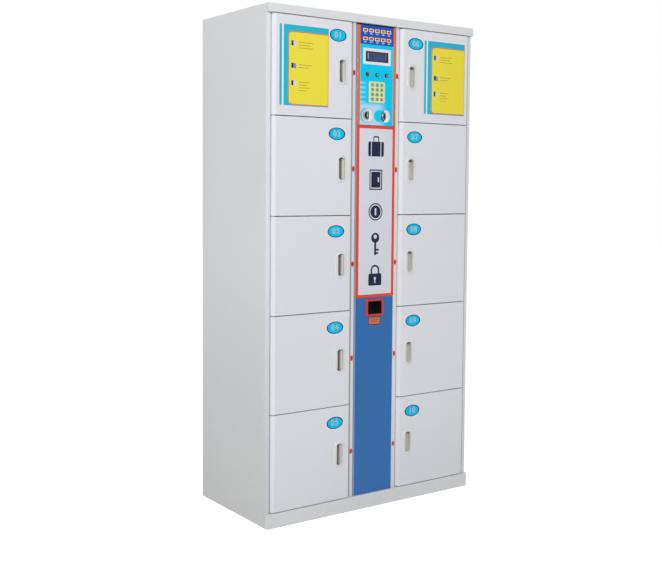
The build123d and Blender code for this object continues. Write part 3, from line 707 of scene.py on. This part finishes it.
# Console plate: steel plate under a printed polyester film. Orange tape runs down both
# edges, a dark blue field carries the lamps, and the rest is cyan with pale swooshes.
plate_low, plate_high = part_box("console_panel")
console_front = plate_low[1]
lamp_low, lamp_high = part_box("console_lamps")
lens_w = 0.011
lens_h = 0.008
lamps_in_row = 5
lamp_pitch_x = (lamp_high[0] - lamp_low[0] - lens_w) / (lamps_in_row - 1)
lamp_pitch_z = lamp_high[2] - lamp_low[2] - lens_h
lamp_middle_z = middle_of("console_lamps")[1]
low_lamp_z = lamp_middle_z - lamp_pitch_z / 2
coin_middle = middle_of("coin_slot_plate")
button_middle = middle_of("return_button_ring")
key_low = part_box("keypad")[0]
key_middle = middle_of("keypad")
key_pitch_x = 0.021
key_pitch_z = 0.0172
film, tree, shader, place = material("polyester_film_console_print")
across = along(tree, place, "X")
upwards = along(tree, place, "Z")
ripple = noise(tree, place, 60.0, 3.0)
colour = over(tree, "00d0f8", ripple, "02c9f3")
streak_middle = (-0.058, key_middle[1] - 0.003)
streak_far = maths(tree, "ABSOLUTE", nearest(tree, upwards, streak_middle[1], key_pitch_z))
streak = both(tree, fade(tree, streak_far, 0.001, 0.0068), fade(tree, across, -0.076, -0.044))
streak_field = inside(tree, place, streak_middle, (0.018, 0.046), corner=0.002)
colour = over(tree, colour, both(tree, streak, streak_field), "b5e2f2")
pale_low = fade(tree, upwards, key_low[2] - 0.014, key_low[2] + 0.001)
pale_side = fade(tree, across, 0.006, 0.045)
colour = over(tree, colour, both(tree, pale_low, pale_side), "b9def4")
comet = inside(tree, place, button_middle, (0.053, 0.0215), corner=0.0214, soft=0.0015)
colour = over(tree, colour, comet, "06cdf2")
glow_middle = (coin_middle[0] - 0.007, coin_middle[1])
glow = inside(tree, place, glow_middle, (0.0265, 0.0265), corner=0.0264, soft=0.0015)
colour = over(tree, colour, glow, "35cdf0")
field_low = 1.697
field_half = (0.0755, (plate_high[2] - field_low) / 2)
field_middle = (0, plate_high[2] - field_half[1])
field_ink = over(tree, "2350ae", ripple, "2a58ba")
colour = stamp(tree, place, colour, field_middle, field_half, field_ink)
lamp_x = nearest(tree, across, 0.0, lamp_pitch_x)
lamp_z = nearest(tree, upwards, low_lamp_z, lamp_pitch_z)
lamp_place = add(tree, "ShaderNodeCombineXYZ", {0: lamp_x, 2: lamp_z}).outputs[0]
rows_half = (lamps_in_row / 2 * lamp_pitch_x - 0.001, lamp_pitch_z)
on_rows = inside(tree, place, (0, lamp_middle_z), rows_half)
pad_ink = "f4dfae"
pad_half = (0.0105, 0.0062)
lit_half = (0.0076, 0.0031)
for half, corner, ink in ((pad_half, 0.0028, pad_ink), (lit_half, 0.003, "dc3420")):
    field = both(tree, inside(tree, lamp_place, (0, 0), half, corner), on_rows)
    colour = over(tree, colour, field, ink)
tape_x = 0.0818
tape_half = (0.0064, 0.2)
worn_x = 0.0882
worn_half = (0.0016, 0.2)
tape_z = middle_of("console_panel")[1]
worn = fade(tree, ripple, 0.66, 0.60)
for side in (-1, 1):
    colour = stamp(tree, place, colour, (side * tape_x, tape_z), tape_half, "e07646")
    tape_edge = inside(tree, place, (side * worn_x, tape_z), worn_half)
    colour = over(tree, colour, both(tree, tape_edge, worn), "d8c4b8")
lay(tree, shader, colour, specular=film_specular)
wander(tree, shader, ripple, 0.26, 0.36)
dress("console_panel", film)

# Captions under the lock lamps: the door numbers between dashes, printed pale blue on the
# dark field, each centred under its lamp.
caption_drop = 0.0118
caption_h = 0.0062
sign_depth = 0.00006
captions = []
for index, number in enumerate(door_numbers):
    line, column = divmod(index, lamps_in_row)
    caption_x = (column - (lamps_in_row - 1) / 2) * lamp_pitch_x
    caption_z = lamp_middle_z + lamp_pitch_z / 2 - line * lamp_pitch_z - caption_drop
    caption_place = Vector((caption_x, console_front, caption_z))
    captions.append(lettering(f"-{number}-", caption_h, caption_place, sign_depth, weight=0.0002))
caption_ink = printed("screen_ink_pale_blue", "cfe0fb", 0.34)
set_piece("lamp_captions", joined(captions), [caption_ink], "cabinet")


# Display: a bevelled frame of satin anodised aluminium round a dark blue character display,
# which lies behind a glossy window.
def moulding_frame(name, middle, loops):
    """A closed frame swept round a rectangle; loops list half width, half height and depth."""
    corners = ((-1, -1), (1, -1), (1, 1), (-1, 1))
    work = bmesh.new()
    rings = [
        [work.verts.new((middle[0] + x * half_x, y, middle[1] + z * half_z)) for x, z in corners]
        for half_x, half_z, y in loops
    ]
    for here, there in zip(rings, rings[1:] + rings[:1]):
        bridge(work, here, there)
    return closed_mesh(work, name)


bezel_low, bezel_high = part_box("display_bezel")
bezel_front = bezel_low[1]
bezel_middle = middle_of("display_bezel")
bezel_half = (bezel_high[0] - bezel_middle[0], bezel_high[2] - bezel_middle[1])
bezel_metal = brushed_metal("anodised_aluminium_satin", "eceef2", roughness=0.42, grain_m=0.0007)
bezel_metal.node_tree.nodes["Principled BSDF"].inputs["Metallic"].default_value = 0.25
bezel_loops = [
    (bezel_half[0] - inset, bezel_half[1] - inset, depth)
    for inset, depth in (
        (0, console_front),
        (0, bezel_front + 0.0012),
        (0.0012, bezel_front),
        (0.007, bezel_front + 0.0006),
        (0.0105, bezel_front + 0.0022),
        (0.0105, console_front),
    )
]
bezel_mesh = moulding_frame("frame", bezel_middle, bezel_loops)
bezel = set_piece("display_frame", bezel_mesh, [bezel_metal], "cabinet")
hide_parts("display_bezel")
glass, tree, shader, place = material("acrylic_window_over_display")
pane_middle = (0, 1.6545)
liquid_ink = over(tree, "163068", noise(tree, place, 45.0), "1d4180")
liquid_half = (0.0415, 0.0135)
colour = stamp(tree, place, "0b0c12", pane_middle, liquid_half, liquid_ink, corner=0.001)
cell = add(
    tree,
    "ShaderNodeTexBrick",
    {
        "Vector": add(tree, "ShaderNodeMapping", {0: place, 2: (math.pi / 2, 0, 0)}).outputs[0],
        "Color1": (1, 1, 1, 1),
        "Color2": (0.8, 0.8, 0.8, 1),
        "Mortar": (0, 0, 0, 1),
        "Scale": 1.0,
        "Mortar Size": 0.0005,
        "Brick Width": 0.005,
        "Row Height": 0.0085,
    },
    offset=0.0,
)
in_cells = inside(tree, place, pane_middle, (0.040, 0.0125), corner=0.001)
colour = over(tree, colour, both(tree, cell.outputs["Fac"], in_cells), "16305f")
# Two thin upright lines at the sides of the display are painted reflections, pale on the left and
# grey-green on the right.
for reflection_x, ink in ((-0.0405, "b9c6d6"), (0.0410, "5f7c88")):
    reflection_middle = (reflection_x, pane_middle[1] + 0.001)
    colour = stamp(tree, place, colour, reflection_middle, (0.0012, 0.011), ink, corner=0.0008)
lay(tree, shader, colour, roughness=0.07)
dress("display_module", glass)


# Lamps: moulded acrylic lenses over light diodes. The lock lamps are red with pale ends, the
# post lamps are red over a dark diode, and the three status lamps, of which the middle one
# is green, sit in black holders.
def lens(name, tone, deep, coat):
    """Coloured clear acrylic: glossy, lit a little from inside by the light that enters."""
    made, tree, shader, place = material(name)
    shader.inputs["Roughness"].default_value = 0.16
    shader.inputs["Subsurface Weight"].default_value = 0.25
    shader.inputs["Subsurface Radius"].default_value = (0.004, 0.001, 0.001)
    shader.inputs["Coat Weight"].default_value = coat
    return made, tree, shader, place, over(tree, tone, noise(tree, place, 400.0, 1.0), deep)


dull_lens = 0.2
lock_lens, tree, shader, place, colour = lens("acrylic_red_lock_lamp", "dc2a1a", "bd1c12", 0.0)
lamp_from = nearest(tree, along(tree, place, "Z"), low_lamp_z, lamp_pitch_z)
lamp_far = maths(tree, "ABSOLUTE", lamp_from)
colour = over(tree, colour, fade(tree, lamp_far, 0.0034, 0.0028), pad_ink)
lay(tree, shader, colour, specular=dull_lens)
dress("console_lamps", lock_lens)

post_lens, tree, shader, place, colour = lens("acrylic_red_post_lamp", "e42c1e", "cc2016", 0.1)
post_low, post_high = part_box("door_lamps")
post_lamp_h = 0.019
diode_inset = 0.0055
row_pitch = (post_high[2] - post_low[2] - post_lamp_h) / (doors_in_column - 1)
from_middle = maths(tree, "ABSOLUTE", along(tree, place, "X"))
diode_x = maths(tree, "SUBTRACT", from_middle, post_high[0] - diode_inset)
diode_z = nearest(tree, along(tree, place, "Z"), post_low[2] + post_lamp_h / 2, row_pitch)
diode_place = add(tree, "ShaderNodeCombineXYZ", {0: diode_x, 2: diode_z}).outputs[0]
diode = inside(tree, diode_place, (0, 0), (0.0026, 0.0030), corner=0.002, soft=0.0006)
lay(tree, shader, over(tree, colour, both(tree, diode, 0.85), "4a0c0c"))
dress("door_lamps", post_lens)

status_lens, tree, shader, place, colour = lens("acrylic_status_lamps", "f52a1a", "e02014", 0.0)
status_low, status_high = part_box("status_lamps")
status_lamp_w = 0.015
status_pitch = (status_high[0] - status_low[0] - status_lamp_w) / 2
status_z = middle_of("status_lamps")[1]
colour = stamp(tree, place, colour, (0, status_z), (0.01, 0.01), "2ad878")
status_x = nearest(tree, along(tree, place, "X"), 0.0, status_pitch)
status_inputs = {0: status_x, 2: along(tree, place, "Z")}
status_place = add(tree, "ShaderNodeCombineXYZ", status_inputs).outputs[0]
# The clear lens sits a little right of each holder's middle, so the black ring shows wider on the
# left: painted shade.
clear = inside(tree, status_place, (0.0009, status_z), (0.0052, 0.0052), corner=0.00519)
colour = over(tree, "191b20", clear, colour)
lay(tree, shader, colour, specular=dull_lens)
dress("status_lamps", status_lens)

# Keypad: pale yellow moulded pad with twelve soft keys, teal but for a blue clear key and a
# pink enter key, numbered in dark ink.
pad_plastic, tree, shader, place = material("moulded_keypad_silicone")
grain = noise(tree, place, 900.0)
key_ink = "72b29a"
for side, ink in ((-1, "4fa8dd"), (1, "d77aa6")):
    key_place = (key_middle[0] + side * key_pitch_x, key_middle[1] - 1.5 * key_pitch_z)
    key_ink = stamp(tree, place, key_ink, key_place, (0.008, 0.008), ink)
key_foot = console_front - 0.0016
on_key = maths(tree, "LESS_THAN", along(tree, place, "Y"), key_foot)
colour = over(tree, over(tree, "f0e7a6", grain, "ece29b"), on_key, key_ink)
lay(tree, shader, colour, roughness=0.5)
emboss(tree, shader, grain, 0.2, 0.00004)
dress("keypad", pad_plastic)
key_sign_h = 0.0058
key_signs = []
for index, sign in enumerate("123456789*0#"):
    row, column = divmod(index, 3)
    sign_x = key_middle[0] + (column - 1) * key_pitch_x
    sign_z = key_middle[1] + (1.5 - row) * key_pitch_z
    sign_place = Vector((sign_x, key_low[1], sign_z))
    key_signs.append(lettering(sign, key_sign_h, sign_place, sign_depth))
set_piece("key_signs", joined(key_signs), [printed("key_ink_dark", "27504a", 0.5)], "cabinet")


# Coin entry and return button: turned brass, chrome plated and buffed, so they mirror the
# room, with faint lathe rings round their middles.
def chrome_turned(name, middle):
    """Bright chrome over a turned face whose rings lie round the middle."""
    made, tree, shader, place = material(name)
    ring_m = 0.0007
    rings = add(
        tree,
        "ShaderNodeTexWave",
        {
            "Vector": flat_from(tree, place, middle),
            "Scale": 1 / ring_m / 20 * math.pi,
            "Distortion": 0.0,
        },
        wave_type="RINGS",
        rings_direction="SPHERICAL",
    )
    shader.inputs["Base Color"].default_value = linear("dcdee0")
    shader.inputs["Metallic"].default_value = 1.0
    wander(tree, shader, noise(tree, place, 90.0, 4.0), 0.06, 0.2, high=0.75)
    emboss(tree, shader, rings.outputs["Fac"], 0.05, 0.00002)
    return made


def turned(name, middle, profile):
    """A solid turned about the Y line through middle; profile lists radius and depth."""
    work = bmesh.new()
    rings = []
    for radius, y in profile:
        if radius == 0:
            rings.append([work.verts.new((middle[0], y, middle[1]))])
        else:
            rings.append(oval(work, middle[0], y, middle[1], radius, radius, steps=96))
    for here, there in zip(rings, rings[1:]):
        bridge(work, here, there)
    made = closed_mesh(work, name)
    made.shade_smooth()
    made.set_sharp_from_angle(angle=math.radians(32))
    return made


def dome(radius, rim, crown, steps=14):
    """Profile of a dome from its crown on the axis out to its rim."""
    rise = rim - crown
    ball = (radius**2 + rise**2) / (2 * rise)
    profile = []
    for step in range(steps + 1):
        out = radius * step / steps
        profile.append((out, crown + ball - math.sqrt(ball**2 - out**2)))
    return profile


coin_low, coin_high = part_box("coin_slot_plate")
entry_chrome = chrome_turned("chrome_coin_entry", coin_middle)
# The slot walls get a near-black finish: painted shade, where the chrome walls would mirror the
# room.
slot_shade = moulded("slot_walls_painted_shade", "0e0f10", roughness=0.7, grain_m=0.0008)
entry_r = (coin_high[0] - coin_low[0]) / 2
neck_r = 0.019
entry_rise = console_front - 0.001 - coin_low[1]
entry_steps = (
    (0.0, 0.0),
    (0.30, 0.0),
    (0.35, 0.05),
    (0.56, 0.48),
    (0.60, 0.54),
    (0.64, 0.55),
    (0.955, 0.58),
    (1.0, 1.0),
)
entry_profile = [
    (entry_r * share, coin_low[1] + entry_rise * drop) for share, drop in entry_steps
]
entry_profile += [(entry_r, console_front), (neck_r, console_front), (neck_r, coin_high[1])]
entry_profile.append((0, coin_high[1]))
entry_blank = placed("blank", turned("blank", coin_middle, entry_profile))
slot_w = 0.0042
slot_h = 0.030
blade_depth = 0.06
cutter = bmesh.new()
bmesh.ops.create_cube(cutter, size=1.0)
blade = placed("blade", mesh_of(cutter, "blade"))
blade.data.transform(
    Matrix.Translation((coin_middle[0], console_front, coin_middle[1]))
    @ Matrix.Diagonal((slot_w, blade_depth, slot_h, 1))
)
milling = entry_blank.modifiers.new("slot", "BOOLEAN")
milling.object = blade
milling.solver = "EXACT"
entry_mesh = taken_mesh(entry_blank)
bpy.data.objects.remove(blade)
entry = set_piece("coin_entry_chrome", entry_mesh, [entry_chrome, slot_shade], "cabinet")
just_past_half = 0.51
# Faces inside the slot take the painted shade.
for face in entry_mesh.polygons:
    out_x = abs(face.center.x - coin_middle[0])
    out_z = abs(face.center.z - coin_middle[1])
    if out_x < slot_w * just_past_half and out_z < slot_h * just_past_half:
        face.material_index = 1
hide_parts("coin_slot_plate")

button_chrome = chrome_turned("chrome_return_button", button_middle)
dress("return_button_ring", button_chrome)
cap_low, cap_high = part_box("coin_return_button")
cap_r = (cap_high[0] - cap_low[0]) / 2
cap_back = console_front + 0.0038
stem_r = 0.006
clip_r = 0.009
clip_back = cap_high[1]
clip_front = clip_back - 0.002
cap_profile = dome(cap_r, rim=cap_low[1] + 0.0026, crown=cap_low[1])
cap_profile += [(cap_r, cap_back), (stem_r, cap_back), (stem_r, clip_front)]
cap_profile += [(clip_r, clip_front), (clip_r, clip_back), (0, clip_back)]
cap_mesh = turned("cap", button_middle, cap_profile)
cap = set_piece("return_button_chrome", cap_mesh, [button_chrome], "coin_return_button")
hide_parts("coin_return_button")


# Notice panel: steel plate under a silver-grey film with a red printed border. Plain signs
# for luggage, a door, a coin, a key and a padlock are screen printed down its middle.
def sign_print(tree, place, under, sign_z, shapes):
    """Prints rounded blocks, given as (x, z, half width, half height, corner, ink)."""
    colour = under
    for x, z, half_x, half_z, corner, ink in shapes:
        colour = stamp(tree, place, colour, (x, sign_z + z), (half_x, half_z), ink, corner)
    return colour


notice_low, notice_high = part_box("notice_panel")
notice_z = middle_of("notice_panel")[1]
notice_half = (notice_high[0], (notice_high[2] - notice_low[2]) / 2)
border = 0.011
notice_film, tree, shader, place = material("polyester_film_silver_grey")
ground = over(tree, "dde0e8", noise(tree, place, 14.0, 4.0), "d7dae3")
bare_half = (notice_half[0] - border, notice_half[1] - border)
colour = stamp(tree, place, "ea4a30", (0, notice_z), bare_half, ground, corner=0.001)
sign_ink = "252a45"
luggage = [
    (0, 0.030, 0.013, 0.011, 0.006, sign_ink),
    (0, 0.028, 0.009, 0.008, 0.003, ground),
    (0, -0.006, 0.036, 0.027, 0.007, sign_ink),
    (-0.022, -0.006, 0.0016, 0.027, 0.0004, ground),
    (0.022, -0.006, 0.0016, 0.027, 0.0004, ground),
]
closed_door = [
    (0, 0, 0.029, 0.037, 0.004, sign_ink),
    (0, 0, 0.0245, 0.0325, 0.002, ground),
    (0, 0, 0.021, 0.029, 0.002, sign_ink),
    (0.012, 0, 0.003, 0.009, 0.003, ground),
]
coin = [
    (0, 0, 0.032, 0.032, 0.0319, sign_ink),
    (0, 0, 0.0275, 0.0275, 0.0274, ground),
    (0, 0, 0.0235, 0.0235, 0.0234, sign_ink),
    (0, 0, 0.0035, 0.013, 0.001, ground),
]
key = [
    (0, 0.022, 0.0185, 0.0185, 0.0184, sign_ink),
    (0, 0.026, 0.0075, 0.0075, 0.0074, ground),
    (0, -0.016, 0.0045, 0.026, 0.002, sign_ink),
    (0.0095, -0.022, 0.0075, 0.0035, 0.0008, sign_ink),
    (0.008, -0.034, 0.006, 0.0035, 0.0008, sign_ink),
]
padlock = [
    (0, 0.016, 0.020, 0.024, 0.0195, sign_ink),
    (0, 0.016, 0.013, 0.017, 0.0125, ground),
    (0, -0.014, 0.030, 0.022, 0.005, sign_ink),
    (0, -0.010, 0.005, 0.005, 0.0049, ground),
    (0, -0.019, 0.0022, 0.008, 0.001, ground),
]
signs = (luggage, closed_door, coin, key, padlock)
signs_from_end = 0.02
sign_step = 2 * (notice_half[1] - signs_from_end) / len(signs)
for index, shapes in enumerate(signs):
    steps_up = (len(signs) - 1) / 2 - index
    colour = sign_print(tree, place, colour, notice_z + steps_up * sign_step, shapes)
lay(tree, shader, colour, 0.34, film_specular)
dress("notice_panel", notice_film)

# Coin return cup: pressed steel under satin enamel, red on the frame and black inside the
# pocket.
cup_coat, tree, shader, place = material("enamel_red_frame_black_pocket")
peel = noise(tree, place, 450.0, 1.0)
pocket = inside(tree, place, middle_of("coin_return_cup"), (0.0316, 0.0241), corner=0.001)
colour = over(tree, over(tree, "e0261f", peel, "d6221c"), pocket, "1c1d1e")
lay(tree, shader, colour, roughness=0.38)
emboss(tree, shader, peel, 0.25, 0.0001)
dress("coin_return_cup", cup_coat)

# Label under the cup: small orange vinyl label with a dark line round it and two plain
# printed bars.
label_x = 0.001
label_z = 0.6935
label_half = (0.0285, 0.0152)
label_line = 0.003
label_t = 0.0003
label_vinyl, tree, shader, place = material("printed_vinyl_orange")
orange = over(tree, "dc6c30", noise(tree, place, 120.0), "d4662c")
bare_half = (label_half[0] - label_line, label_half[1] - label_line)
colour = stamp(tree, place, "33262c", (label_x, label_z), bare_half, orange, corner=0.0022)
for bar_z in (-0.0032, 0.0032):
    bar = inside(tree, place, (label_x, label_z + bar_z), (0.0165, 0.0016), corner=0.0008)
    colour = over(tree, colour, bar, "b0482a")
lay(tree, shader, colour, roughness=0.34)
label_middle = (label_x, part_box("service_panel")[0][1], label_z)
label_mesh = plate("label", label_middle, label_half, label_t, corner=0.004)
set_piece("return_label", label_mesh, [label_vinyl], "cabinet")

# Works of the middle column, behind the panel: moulded coin validator and coin box, sheet
# metal chutes, power supply in an aluminium case, controller board and rubber grommet.
dress("coin_validator", moulded("glass_filled_nylon_black", "1b1c1e", 0.5, 0.0006, 0.00003))
dress("cable_grommet", moulded("rubber_grommet_black", "17181a", 0.6, 0.0008, 0.00003))
dress("coin_chute", plated_steel)
dress("coin_box", moulded("abs_black_coin_box", "222325", 0.45, 0.0009, 0.00003))
dress("power_supply", brushed_metal("folded_aluminium_case", "b4b6b8", 0.40, 0.0010))
dress("controller_board", moulded("glass_epoxy_green_mask", "1c5a34", 0.35, 0.0015))


# Studio: a plain white floor that fades into a white surround, a wide soft lamp above the
# camera, and pale light from all round, stronger from the left.
def sheet(name, corners):
    """A mesh of one face."""
    made = bpy.data.meshes.new(name)
    made.from_pydata(corners, [], [tuple(range(len(corners)))])
    return made


floor_half = 14.0
floor_corners = [
    (floor_half * x, floor_half * y, 0) for x, y in ((-1, -1), (1, -1), (1, 1), (-1, 1))
]
floor_glow = 0.66
floor_paint, tree, shader, place = material("studio_floor_white")
paths = add(tree, "ShaderNodeLightPath").outputs
mirrored = maths(tree, "MAXIMUM", paths["Is Glossy Ray"], paths["Is Transmission Ray"])
seen = maths(tree, "MAXIMUM", paths["Is Camera Ray"], mirrored)
shader.inputs["Base Color"].default_value = linear("e2e2e2")
shader.inputs["Roughness"].default_value = 0.9
shader.inputs["Emission Color"].default_value = (1, 1, 1, 1)
tree.links.new(both(tree, seen, floor_glow), shader.inputs["Emission Strength"])
studio_floor = placed("studio_floor", sheet("floor", floor_corners))
studio_floor.data.materials.append(floor_paint)

world = bpy.data.worlds.new("studio")
bpy.context.scene.world = world
world.use_nodes = True
tree = world.node_tree
background = tree.nodes["Background"]
paths = add(tree, "ShaderNodeLightPath").outputs
seen = maths(tree, "MAXIMUM", paths["Is Camera Ray"], paths["Is Transmission Ray"])
heading = add(tree, "ShaderNodeTexCoord").outputs["Generated"]
fill = ramp(tree, along(tree, heading, "X"), -1.0, 1.0, 0.64, 0.36)
lit = add(tree, "ShaderNodeMix", {0: paths["Is Glossy Ray"], 2: fill, 3: 1.0}).outputs[0]
strength = add(tree, "ShaderNodeMix", {0: seen, 2: lit, 3: 1.0}).outputs[0]
background.inputs["Color"].default_value = (1, 1, 1, 1)
tree.links.new(strength, background.inputs["Strength"])

key_lamp = bpy.data.lights.new("key_lamp", "AREA")
key_lamp.energy = 97
key_lamp.size = 2.0
soft_box = placed("key_lamp", key_lamp)
soft_box.location = (-2.35, -3.5, 3.0)
lit_place = Vector((0, 0, 1.25))
soft_box.rotation_euler = (lit_place - soft_box.location).to_track_quat("-Z", "Y").to_euler()

# Dark flag: a black screen before the doors that only reflections see, whose ends stand
# 1.5 m from their middle. It puts the dark bands into the chrome, and its right end glows
# paler: painted light, where it would catch the lamp.
flag_bearings = (-30.0, 34.0)
flag_distance = 1.5
flag_height = 3.2
flag_low = [
    (
        flag_distance * math.sin(math.radians(bearing)),
        door_face - flag_distance * math.cos(math.radians(bearing)),
        0,
    )
    for bearing in flag_bearings
]
flag_top = [(x, y, flag_height) for x, y, _ in reversed(flag_low)]
flag_right = flag_low[1][0]
flag_cloth, tree, shader, place = material("flag_cloth_black")
painted_glow = ramp(tree, along(tree, place, "X"), flag_right * 0.62, flag_right, 0.05, 0.5)
cloth = add(tree, "ShaderNodeEmission", {1: painted_glow})
unseen = add(tree, "ShaderNodeBsdfTransparent")
mirrored = add(tree, "ShaderNodeLightPath").outputs["Is Glossy Ray"]
shown = add(
    tree, "ShaderNodeMixShader", {0: mirrored, 1: unseen.outputs[0], 2: cloth.outputs[0]}
)
tree.links.new(shown.outputs[0], tree.nodes["Material Output"].inputs["Surface"])
dark_flag = placed("dark_flag", sheet("dark_flag", flag_low + flag_top))
dark_flag.data.materials.append(flag_cloth)
